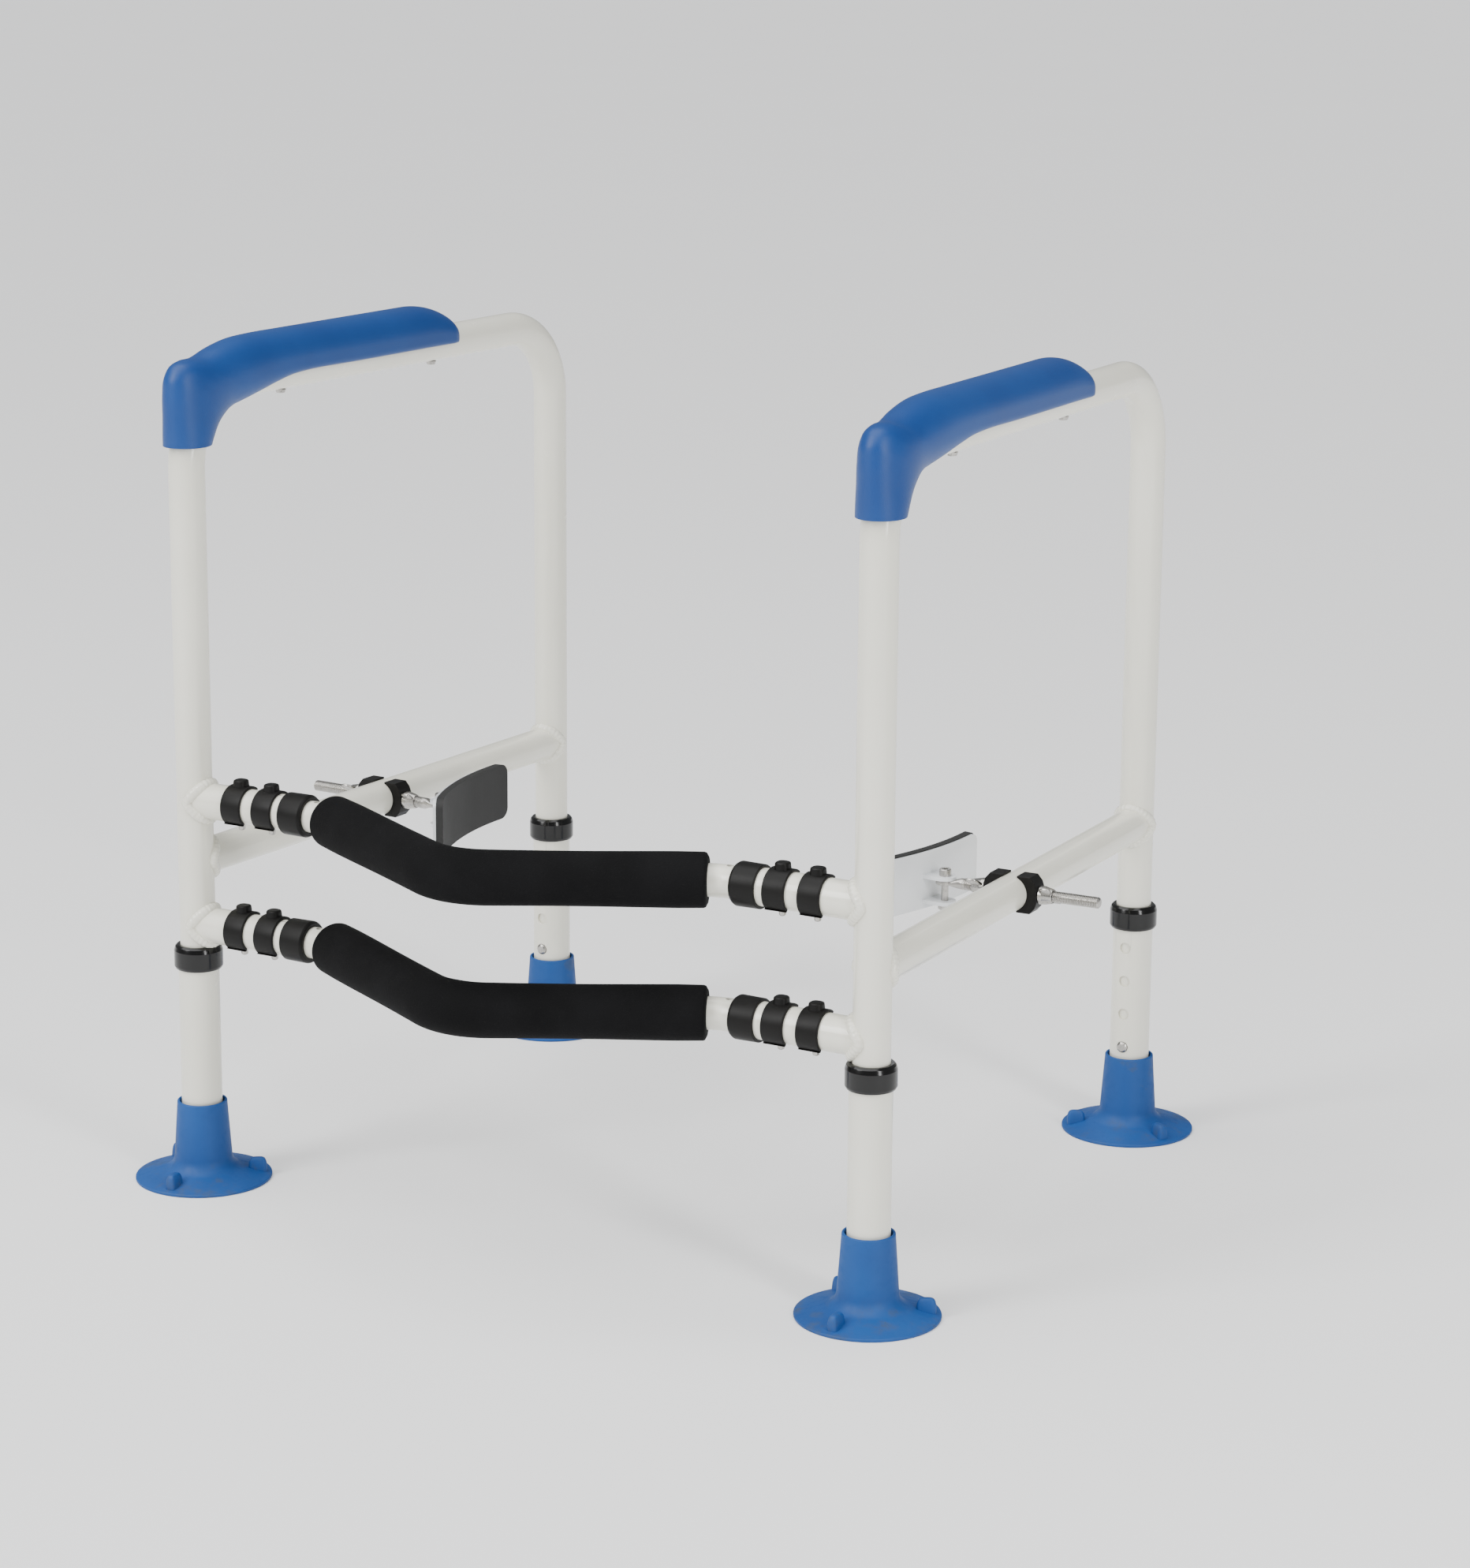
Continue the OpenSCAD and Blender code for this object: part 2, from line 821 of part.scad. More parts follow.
pin("left", "upper", 0);  // pin_upper_inner_left
pin("left", "upper", 1);  // pin_upper_outer_left
pin("left", "lower", 0);  // pin_lower_inner_left
pin("left", "lower", 1);  // pin_lower_outer_left
pin("right", "upper", 0);  // pin_upper_inner_right
pin("right", "upper", 1);  // pin_upper_outer_right
pin("right", "lower", 0);  // pin_lower_inner_right
pin("right", "lower", 1);  // pin_lower_outer_right
clamp_rod("left");  // clamp_rod_left
clamp_rod("right");  // clamp_rod_right
wing_nuts("left");  // wing_nuts_left
wing_nuts("right");  // wing_nuts_right
saddle_washers("left");  // saddle_washers_left
saddle_washers("right");  // saddle_washers_right
clamp_plate("left");  // clamp_plate_left
clamp_plate("right");  // clamp_plate_right
clamp_pad("left");  // clamp_pad_left
clamp_pad("right");  // clamp_pad_right
swivel_bolt("left");  // swivel_bolt_left
swivel_bolt("right");  // swivel_bolt_right
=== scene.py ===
import json
import math
import bmesh
import bpy
import numpy as np
from mathutils import Matrix, Vector

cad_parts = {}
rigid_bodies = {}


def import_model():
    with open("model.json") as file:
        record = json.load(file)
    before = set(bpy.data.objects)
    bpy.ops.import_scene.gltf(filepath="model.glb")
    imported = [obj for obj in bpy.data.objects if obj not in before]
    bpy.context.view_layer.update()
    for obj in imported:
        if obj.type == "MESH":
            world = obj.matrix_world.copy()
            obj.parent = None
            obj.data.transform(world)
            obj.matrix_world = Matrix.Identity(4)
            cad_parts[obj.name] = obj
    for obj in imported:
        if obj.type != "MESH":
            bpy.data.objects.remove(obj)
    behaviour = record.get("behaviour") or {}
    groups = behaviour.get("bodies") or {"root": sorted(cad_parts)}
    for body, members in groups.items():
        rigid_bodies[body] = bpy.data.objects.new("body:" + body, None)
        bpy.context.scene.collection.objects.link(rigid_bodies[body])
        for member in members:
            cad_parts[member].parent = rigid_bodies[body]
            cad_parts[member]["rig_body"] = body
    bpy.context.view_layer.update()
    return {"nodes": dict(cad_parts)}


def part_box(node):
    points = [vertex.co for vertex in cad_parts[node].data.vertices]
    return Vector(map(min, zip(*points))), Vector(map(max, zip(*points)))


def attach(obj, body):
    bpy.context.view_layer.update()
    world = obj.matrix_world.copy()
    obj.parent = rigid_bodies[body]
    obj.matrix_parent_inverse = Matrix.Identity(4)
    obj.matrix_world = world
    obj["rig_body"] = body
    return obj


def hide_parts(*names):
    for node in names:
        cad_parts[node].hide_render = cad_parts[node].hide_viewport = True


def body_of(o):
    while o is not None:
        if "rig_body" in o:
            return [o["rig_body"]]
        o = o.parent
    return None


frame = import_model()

print("frame loaded")
sides = {"right": 1, "left": -1}  # each side's sign of X; all lengths are in metres


def middle(node):  # of a CAD node's box
    low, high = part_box(node)
    return (np.array(low) + np.array(high)) / 2


frontLeg, rearLeg = middle("leg_tube_front_right"), middle("leg_tube_rear_right")
depth = math.hypot(frontLeg[0] - rearLeg[0], rearLeg[1] - frontLeg[1])
toeIn = math.atan2(frontLeg[0] - rearLeg[0], rearLeg[1] - frontLeg[1])
tubeRadius = 0.0127
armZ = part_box("side_tube_right")[1][2] - tubeRadius
railZ = middle("side_rail_right")[2]
barZ = {"upper": middle("upper_bar")[2], "lower": middle("lower_bar")[2]}


def turned(p, angle):  # about the vertical axis
    c, s = math.cos(angle), math.sin(angle)
    x, y, z = p[..., 0], p[..., 1], p[..., 2]
    return np.stack([x * c - y * s, x * s + y * c, z], -1)


def inSide(p, side):  # a side's own frame: X outwards, Y rearwards from the front leg's axis
    return (turned(p, toeIn) + (frontLeg[0], frontLeg[1], 0)) * (sides[side], 1, 1)


def atLeg(p, side, place):  # Y points towards the other leg of the same side
    return inSide(p * (1, -1, 1) + (0, depth, 0) if place == "rear" else p, side)


def atClamp(p, side):  # origin on the rail's axis, X outwards along the rod
    return inSide(p + (0, depth / 2, railZ), side)


def atBar(p, side, x, level):  # origin on a front bar's axis, at x from the middle
    return (p + (x, frontLeg[1], barZ[level])) * (sides[side], 1, 1)


def circle(steps):
    return np.linspace(0, 2 * math.pi, steps, endpoint=False)


def lathe(profile, steps, axis="z"):
    # radius and height turned about an axis: (r cos a, r sin a, h)
    r, h = np.array(profile, float).T[:, :, None]
    a = circle(steps)[None, :]
    x, y, z = r * np.cos(a), r * np.sin(a), h + 0 * a
    return np.stack((z, x, y) if axis == "x" else (x, y, z), -1)


def rounded(corners, steps=5):
    # each corner (x, y, radius) of an open outline becomes an arc tangent to both its sides:
    # point = hub + the first and last spokes mixed by sines of the angle left and gone
    out = [np.array(corners[0][:2], float)[None]]
    for a, b, c in zip(corners, corners[1:], corners[2:]):
        p, q, s = (np.array(v[:2], float) for v in (a, b, c))
        one, two = (p - q) / np.linalg.norm(p - q), (s - q) / np.linalg.norm(s - q)
        half = math.acos(max(-1, min(1, float(one @ two)))) / 2
        reach = b[2] / math.tan(half) if b[2] else 0
        if not reach:
            out.append(q[None])
            continue
        hub = q + (one + two) / np.linalg.norm(one + two) * b[2] / math.sin(half)
        first, last = q + one * reach - hub, q + two * reach - hub
        t = np.linspace(0, 1, steps + 1)[:, None]
        bow = math.pi - 2 * half  # the arc's angle
        spoke = (np.sin((1 - t) * bow) * first + np.sin(t * bow) * last) / math.sin(bow)
        out.append(hub + spoke)
    out.append(np.array(corners[-1][:2], float)[None])
    return np.concatenate(out)


def curve(t, knots, values):
    # cubic Hermite curve through the values, slopes from the neighbouring knots
    knots, values = np.array(knots, float), np.array(values, float)
    slope = np.gradient(values, knots, axis=0)
    i = np.clip(np.searchsorted(knots, t, side="right") - 1, 0, len(knots) - 2)
    span = (knots[i + 1] - knots[i])[:, None]
    u = (t - knots[i])[:, None] / span
    return ((1 + 2 * u) * (1 - u) ** 2 * values[i] + u * (1 - u) ** 2 * span * slope[i]
            + u * u * (3 - 2 * u) * values[i + 1] + u * u * (u - 1) * span * slope[i + 1])


def sweep(path, normal, across, radius, turns):
    # rings about a path: point = path + radius (cos a normal + sin a across)
    a = turns[None, :, None]
    r = np.broadcast_to(radius, (len(path), len(turns)))[:, :, None]
    return path[:, None] + r * (np.cos(a) * normal[:, None] + np.sin(a) * across[:, None])


def gridFaces(nu, nv, wrapU, wrapV):
    rows, columns = np.arange(nu if wrapU else nu - 1), np.arange(nv if wrapV else nv - 1)
    u, v = np.meshgrid(rows, columns, indexing="ij")
    nextU, nextV = (u + 1) % nu, (v + 1) % nv
    corners = [u * nv + v, nextU * nv + v, nextU * nv + nextV, u * nv + nextV]
    return np.stack(corners, -1).reshape(-1, 4)


def piece(name, parts, finish, node, sharp=40, body=None):
    # parts: (grid of points, closed in the first direction, closed in the second);
    # a piece that replaces no node names its body itself
    points, faces, count = [], [], 0
    for grid, wrapU, wrapV in parts:
        nu, nv = grid.shape[:2]
        faces.append(gridFaces(nu, nv, wrapU, wrapV) + count)
        points.append(grid.reshape(-1, 3))
        count += nu * nv
    mesh = bpy.data.meshes.new(name)
    mesh.from_pydata(np.concatenate(points).tolist(), [], np.concatenate(faces).tolist())
    return dress(name, mesh, finish, node, sharp, weld=1e-6, body=body)


def dress(name, mesh, finish, node, sharp, weld, body=None):
    # merges doubles, turns faces outwards, and hands the piece to the frame in a node's place
    bm = bmesh.new()
    bm.from_mesh(mesh)
    bmesh.ops.remove_doubles(bm, verts=bm.verts, dist=weld)
    bmesh.ops.recalc_face_normals(bm, faces=bm.faces)
    bm.to_mesh(mesh)
    bm.free()
    mesh.shade_smooth()
    mesh.set_sharp_from_angle(angle=math.radians(sharp))
    mesh.materials.clear()
    mesh.materials.append(finish)
    made = bpy.data.objects.new(name, mesh)
    bpy.context.scene.collection.objects.link(made)
    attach(made, body or body_of(frame["nodes"][node])[0])
    if node:
        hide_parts(node)
    return made


def refined(node, finish, bevel=0.0003, segments=2, sharp=35, weld=1e-5):
    # a merged copy of a CAD node with its edges rounded and its shading weighted by face
    made = dress(node + ".fine", frame["nodes"][node].data.copy(), finish, node, sharp, weld)
    if bevel:
        mod = made.modifiers.new("edges", "BEVEL")
        mod.width = bevel
        mod.segments = segments
        mod.limit_method = "ANGLE"
        mod.angle_limit = math.radians(sharp)
        mod.use_clamp_overlap = True
    even = made.modifiers.new("normals", "WEIGHTED_NORMAL")
    even.keep_sharp = True
    even.weight = 100
    return made


class Wire:  # a shader socket with arithmetic; numbers and tuples may stand on either side
    def __init__(self, tree, socket):
        self.tree, self.socket = tree, socket

    def node(self, kind, settings, values, out=0):
        made = self.tree.nodes.new(kind)
        for key, value in settings.items():
            setattr(made, key, value)
        for key, value in values.items():
            if isinstance(value, Wire):
                self.tree.links.new(value.socket, made.inputs[key])
            else:
                made.inputs[key].default_value = value
        return Wire(self.tree, made.outputs[out])

    def join(self, op, a, b):
        kinds = (v.socket.type if isinstance(v, Wire) else type(v) for v in (a, b))
        if not any(kind in ("VECTOR", tuple) for kind in kinds):
            return self.node("ShaderNodeMath", {"operation": op}, {0: a, 1: b})
        a, b = ((v,) * 3 if isinstance(v, (int, float)) else v for v in (a, b))
        return self.node("ShaderNodeVectorMath", {"operation": op}, {0: a, 1: b})

    def __add__(self, other): return self.join("ADD", self, other)
    def __radd__(self, other): return self.join("ADD", other, self)
    def __sub__(self, other): return self.join("SUBTRACT", self, other)
    def __rsub__(self, other): return self.join("SUBTRACT", other, self)
    def __mul__(self, other): return self.join("MULTIPLY", self, other)
    def __rmul__(self, other): return self.join("MULTIPLY", other, self)
    def __truediv__(self, other): return self.join("DIVIDE", self, other)
    def __rtruediv__(self, other): return self.join("DIVIDE", other, self)

    def noise(self, scale, detail=3.0, rough=0.5):
        values = {"Vector": self, "Scale": scale, "Detail": detail, "Roughness": rough}
        return self.node("ShaderNodeTexNoise", {}, values)

    def cells(self, scale):
        return self.node("ShaderNodeTexVoronoi", {}, {"Vector": self, "Scale": scale})

    def ramp(self, low, high, first=0.0, last=1.0):
        values = {"Value": self, "From Min": low, "From Max": high, "To Min": first, "To Max": last}
        return self.node("ShaderNodeMapRange", {"interpolation_type": "SMOOTHSTEP"}, values)

    def blend(self, one, two):  # from colour one at 0 to colour two at 1
        return self.node("ShaderNodeMix", {"data_type": "RGBA"}, {0: self, 6: one, 7: two}, 2)

    def bump(self, distance, strength=1.0):
        return self.node("ShaderNodeBump", {}, {"Height": self, "Distance": distance, "Strength": strength})

    def part(self, axis):
        return self.node("ShaderNodeSeparateXYZ", {}, {0: self}, axis)


def finish(name, build, **constants):  # build gives what varies, constants what is even all over
    mat = bpy.data.materials.new(name)
    mat.use_nodes = True
    tree = mat.node_tree
    shader = tree.nodes["Principled BSDF"]
    place = Wire(tree, tree.nodes.new("ShaderNodeTexCoord").outputs["Object"])
    for key, value in constants.items():
        shader.inputs[key.replace("_", " ")].default_value = value
    for key, value in build(place).items():
        tree.links.new(value.socket, shader.inputs[key])
    return mat


def coated(p):  # powder coat: faint orange peel, slightly uneven gloss, a trace of handling marks
    peel = p.noise(650.0, 2.0)
    cloud = p.noise(9.0, 3.0)
    marks = p.noise(38.0, 6.0, 0.7).ramp(0.62, 0.74)
    colour = cloud.ramp(0.3, 0.7).blend((0.80, 0.785, 0.680, 1), (0.84, 0.825, 0.725, 1))
    return {"Base Color": (marks * 0.16).blend(colour, (0.62, 0.60, 0.53, 1)),
            "Roughness": 0.20 + cloud * 0.10 + marks * 0.10,
            "Normal": (peel * 0.5 + cloud * 0.5).bump(0.00012, 0.35)}


def gripSkin(p):  # satin moulded skin: fine leather grain and soft colour drift
    grain = p.cells(1500.0)
    fine = p.noise(2600.0, 2.0)
    drift = p.noise(14.0, 4.0)
    worn = p.noise(60.0, 5.0, 0.65).ramp(0.58, 0.75)
    colour = drift.ramp(0.3, 0.7).blend((0.0020, 0.042, 0.195, 1), (0.0030, 0.052, 0.225, 1))
    return {"Base Color": (worn * 0.10).blend(colour, (0.02, 0.09, 0.28, 1)),
            "Roughness": 0.40 + drift * 0.12 + worn * 0.05,
            "Normal": (grain + fine * 0.6).bump(0.00016, 0.30)}


def footSkin(p):  # matt rubber: fine grain, dust towards the rim and scuffed patches
    fine = p.noise(1400.0, 3.0)
    height = p.part(2)
    rim = height.ramp(0.002, 0.022, 1.0, 0.0)
    smudge = p.noise(55.0, 6.0, 0.7).ramp(0.50, 0.72)
    dust = p.noise(160.0, 5.0, 0.6).ramp(0.45, 0.75)
    tone = p.noise(18.0, 3.0).ramp(0.3, 0.7)
    colour = tone.blend((0.0040, 0.058, 0.235, 1), (0.0060, 0.070, 0.270, 1))
    patch = p.noise(30.0, 4.0, 0.6).ramp(0.60, 0.68)
    dirty = (rim * smudge * 0.60 + patch * 0.35 + dust * 0.06).blend(colour, (0.060, 0.072, 0.085, 1))
    return {"Base Color": dirty, "Roughness": 0.55 + dust * 0.15 + smudge * 0.08,
            "Normal": (fine + dust * 0.5).bump(0.00015, 0.35)}


def foamSkin(p):  # closed-cell foam: small cells, sooty dead black with lint-grey flecks
    cell = p.cells(900.0)
    pits = p.cells(420.0).ramp(0.0, 0.35)
    soft = p.noise(26.0, 4.0)
    fleck = p.noise(900.0, 2.0, 0.8).ramp(0.66, 0.80)
    colour = soft.ramp(0.3, 0.7).blend((0.0030, 0.0030, 0.0033, 1), (0.0055, 0.0055, 0.0060, 1))
    return {"Base Color": (fleck * 0.30).blend(colour, (0.03, 0.03, 0.032, 1)),
            "Roughness": 0.82 + soft * 0.14,
            "Normal": (cell + pits * 0.7 + soft * 0.6).bump(0.00035, 0.45)}


def glossPlastic(p):  # polished black moulding: soft mottling, hair scratches round it
    cloud = p.noise(30.0, 3.0)
    scratch = (p * (30.0, 30.0, 260.0)).noise(6.0, 4.0, 0.6).ramp(0.60, 0.80)
    return {"Base Color": cloud.blend((0.0025, 0.0025, 0.0025, 1), (0.0050, 0.0050, 0.0048, 1)),
            "Roughness": 0.13 + cloud * 0.10 + scratch * 0.12,
            "Normal": (cloud + scratch * 0.2).bump(0.0001, 0.2)}


def mattPlastic(p):  # satin black moulding: fine grain, uneven sheen
    grain = p.noise(1900.0, 2.0)
    cloud = p.noise(24.0, 4.0)
    return {"Base Color": cloud.blend((0.0040, 0.0038, 0.0036, 1), (0.0080, 0.0076, 0.0070, 1)),
            "Roughness": 0.36 + cloud * 0.16,
            "Normal": grain.bump(0.0001, 0.30)}


def brightMetal(p):  # nickel-plated steel: faint lathe marks, dull spots
    spots = p.noise(420.0, 4.0, 0.6).ramp(0.5, 0.8)
    cloud = p.noise(45.0, 3.0)
    return {"Base Color": (spots * 0.6).blend((0.46, 0.445, 0.42, 1), (0.24, 0.225, 0.20, 1)),
            "Roughness": 0.20 + cloud * 0.14 + spots * 0.12,
            "Normal": (spots + cloud).bump(0.00005, 0.25)}


def darkRubber(p):  # dull black rubber: coarse grain and greyed patches
    grain = p.noise(1300.0, 3.0)
    cloud = p.noise(35.0, 4.0)
    return {"Base Color": cloud.blend((0.009, 0.009, 0.009, 1), (0.022, 0.022, 0.021, 1)),
            "Roughness": 0.60 + cloud * 0.2,
            "Normal": (grain + cloud).bump(0.0002, 0.4)}


def platePaint(p):  # cold white paint: fine orange peel
    peel = p.noise(700.0, 2.0)
    cloud = p.noise(14.0, 3.0)
    return {"Base Color": cloud.ramp(0.3, 0.7).blend((0.76, 0.78, 0.80, 1), (0.82, 0.835, 0.85, 1)),
            "Roughness": 0.24 + cloud * 0.10,
            "Normal": peel.bump(0.00012, 0.30)}


white = finish("coated_tube", coated, Coat_Weight=0.35, Coat_Roughness=0.10)
blueGrip = finish("grip_skin", gripSkin, Specular_IOR_Level=0.4)
blueFoot = finish("foot_skin", footSkin, Specular_IOR_Level=0.35)
foam = finish("foam_skin", foamSkin, Specular_IOR_Level=0.12)
gloss = finish("gloss_plastic", glossPlastic, Specular_IOR_Level=0.40)
matt = finish("matt_plastic", mattPlastic, Specular_IOR_Level=0.17)
metal = finish("bright_metal", brightMetal, Metallic=1.0)
rubber = finish("dark_rubber", darkRubber)
plateWhite = finish("plate_paint", platePaint, Coat_Weight=0.3)
print("finishes made")


sideTube = {"bend": 0.056, "wall": 0.0016, "low": 0.040, "steps": 72}


def archLine(low, bend, n=40):
    # upright, quarter bend, armrest, quarter bend, upright; with the outward normal in the side's plane
    a = np.linspace(math.pi, math.pi / 2, n)
    front = np.stack([0 * a, bend + bend * np.cos(a), armZ - bend + bend * np.sin(a)], -1)
    out = np.stack([0 * a, np.cos(a), np.sin(a)], -1)
    rear, rearOut = front[::-1] * (1, -1, 1) + (0, depth, 0), out[::-1] * (1, -1, 1)
    path = np.concatenate([[(0, 0, low)], front, rear, [(0, depth, low)]])
    return path, np.concatenate([[(0, -1, 0)], out, rearOut, [(0, 1, 0)]])


for side in sides:
    path, out = archLine(sideTube["low"], sideTube["bend"])
    across = np.tile((1.0, 0, 0), (len(path), 1))
    turns = circle(sideTube["steps"])
    outer = sweep(path, out, across, tubeRadius, turns)
    inner = sweep(path, out, across, tubeRadius - sideTube["wall"], turns)[::-1]
    tube = np.concatenate([outer, inner])
    made = piece(f"side_tube_{side}.swept", [(inSide(tube, side), True, True)], white,
                 f"side_tube_{side}", sharp=50)
    refined(f"side_rail_{side}", white, 0.0)
    refined(f"bar_sockets_{side}", white, 0.0003)

weld = {"bead": 0.0038, "ripple": 0.035, "ripples": 34, "uneven": 0.05, "soften": 0.0030, "sides": 14}


def beadLoop(steps=220):
    # where two equal tubes meet square: (r cos a, r |sin a| softened, r sin a),
    # with a rippled round bead swept along it
    a = circle(steps)
    y = np.sqrt((tubeRadius * np.sin(a)) ** 2 + weld["soften"] ** 2)
    path = np.stack([tubeRadius * np.cos(a), y, tubeRadius * np.sin(a)], -1)
    along = np.roll(path, -1, 0) - np.roll(path, 1, 0)
    along /= np.linalg.norm(along, axis=1)[:, None]
    out = np.stack([np.cos(a), 0 * a, np.sin(a)], -1)
    out -= along * (out * along).sum(1)[:, None]
    out /= np.linalg.norm(out, axis=1)[:, None]
    swell = weld["ripple"] * np.sin(weld["ripples"] * a) + weld["uneven"] * np.sin(3 * a + 1)
    size = weld["bead"] * (1 + swell)
    return sweep(path, out, np.cross(along, out), size[:, None], circle(weld["sides"]))


bead = beadLoop()
socketBead = turned(bead, math.pi / 2)  # towards -X, where the sockets run
for side in sides:
    grids = [inSide(bead + (0, 0, railZ), side), inSide(bead * (1, -1, 1) + (0, depth, railZ), side)]
    grids += [atBar(socketBead, side, frontLeg[0], level) for level in barZ]
    made = piece(f"weld_beads_{side}", [(g, True, True) for g in grids], white, None, sharp=80,
                 body=f"side_{side}")
print("side frames made")

# outlines are rows of radius, height and the rounding of that corner
collar = {
    "outline": [
        (0.01455, 0.1565, 0), (0.0163, 0.1565, 0.0007), (0.0173, 0.1585, 0.0012),
        (0.0173, 0.1698, 0.0012), (0.0164, 0.1727, 0.0009), (0.0150, 0.174, 0.0006),
        (0.0128, 0.174, 0.0003), (0.0128, 0.170, 0), (0.01455, 0.170, 0)],  # bore, and seat on the tube
    "steps": 96}
foot = {
    "outline": [
        (0, 0.0012, 0), (0.0385, 0.0012, 0.001),  # hollow underside
        (0.0400, 0.0, 0.0004), (0.04875, 0.0, 0.0007), (0.04875, 0.0021, 0.0009),  # rim
        (0.0211, 0.0095, 0.0105), (0.01775, 0.058, 0.0009),  # cone and neck
        (0.0160, 0.058, 0.0004), (0.0158, 0.050, 0.0003), (0.01455, 0.049, 0.0002),  # mouth
        (0.01455, 0.009, 0.0002), (0, 0.009, 0)],  # bore and its floor
    "steps": 128,
    "firstTab": {"front": 24.0, "rear": 30.0}}  # in degrees from X
footTab = {"radius": 0.0385, "half": (0.0066, 0.0043, 0.0125), "power": 4.2, "base": 0.0012,
           "taper": 24, "taperFrom": 0.003}


def blob(half, power, nu=40, nv=48):
    # superellipsoid: each coordinate is a signed power 2/p of the sphere's cosines and sines
    u, v = np.linspace(-math.pi / 2, math.pi / 2, nu)[:, None], circle(nv)[None, :]

    def bent(x):
        return np.sign(x) * np.abs(x) ** (2 / power)

    x, y = half[0] * bent(np.cos(u)) * bent(np.cos(v)), half[1] * bent(np.cos(u)) * bent(np.sin(v))
    return np.stack([x, y, half[2] * bent(np.sin(u)) + 0 * v], -1)


def footSurfaces(place):
    # the turned body, and three blobs cut flat below whose thickness falls with height
    grids = [lathe(rounded(foot["outline"], 14), foot["steps"])]
    base = footTab["base"]
    for turn in (0, 120, 240):
        tab = blob(footTab["half"], footTab["power"]) + (footTab["radius"], 0, base)
        tab[..., 2] = np.maximum(tab[..., 2], base)
        tab[..., 1] *= 1 - footTab["taper"] * np.clip(tab[..., 2] - footTab["taperFrom"], 0, 1)
        grids.append(turned(tab, math.radians(foot["firstTab"][place] + turn)))
    return grids


for side in sides:
    for place in ("front", "rear"):
        tag = f"{place}_{side}"
        refined(f"leg_tube_{tag}", white, 0.0007, 3)
        refined(f"snap_button_{tag}", metal, 0.0002)
        ring = atLeg(lathe(rounded(collar["outline"], 6), collar["steps"]), side, place)
        made = piece(f"leg_collar_{tag}.turned", [(ring, True, True)], gloss, f"leg_collar_{tag}", sharp=45)
        parts = [(atLeg(g, side, place), False, True) for g in footSurfaces(place)]
        made = piece(f"foot_{tag}.moulded", parts, blueFoot, f"foot_{tag}", sharp=50)
print("legs made")

# one row per station: its place along the grip; then, in millimetres behind the front leg's axis
# and above the armrest tube's, the outer point (y, z), the inner point (y, z) and the half width;
# how far from inner to outer the widest line lies; the powers of the outer and the inner half
gripRows = [
    (0.00, -16.3, -39.5, 19.6, -39.5, 16.3, 0.50, 2.0, 2.0),
    (0.07, -16.6, -32.0, 23.4, -33.0, 16.6, 0.50, 2.0, 2.0),
    (0.16, -16.9, -18.0, 30.0, -25.5, 16.8, 0.50, 2.0, 2.0),
    (0.23, -16.8, -3.0, 38.0, -20.5, 17.1, 0.50, 2.1, 2.0),
    (0.28, -15.2, 8.5, 43.5, -18.2, 17.4, 0.50, 2.1, 2.0),
    (0.32, -9.5, 16.2, 48.5, -16.8, 17.6, 0.49, 2.1, 2.0),
    (0.36, 0.0, 19.3, 54.0, -15.5, 17.8, 0.48, 2.1, 2.1),
    (0.40, 12.0, 20.0, 61.0, -13.6, 18.6, 0.46, 2.1, 2.2),
    (0.45, 30.0, 25.0, 71.0, -10.2, 19.9, 0.44, 2.1, 2.6),
    (0.51, 52.0, 29.2, 84.0, -5.6, 20.5, 0.40, 2.1, 3.4),
    (0.57, 76.0, 30.4, 98.0, -1.6, 20.7, 0.36, 2.1, 4.6),
    (0.64, 108.0, 30.5, 116.0, 0.4, 20.7, 0.33, 2.1, 6.0),
    (0.78, 180.0, 30.5, 180.0, 0.5, 20.7, 0.32, 2.1, 7.0),
    (0.90, 256.0, 30.5, 256.0, 0.5, 20.7, 0.32, 2.1, 7.0),
]
# the rim at the front end, rolled in to the tube: what its rows add to the first station's lengths
gripRim = [(5.0, 3.0, -3.6, 3.0, -3.45), (4.6, -0.2, -3.4, -0.2, -3.3),
           (2.2, -0.6, -1.6, -0.6, -1.7), (0.5, -0.3, -0.4, -0.3, -0.4)]
gripNose = {"start": 0.256, "length": 0.050, "corner": 0.016, "crown": 0.85, "rows": 46}
gripMesh = {"stations": 190, "turns": 112}


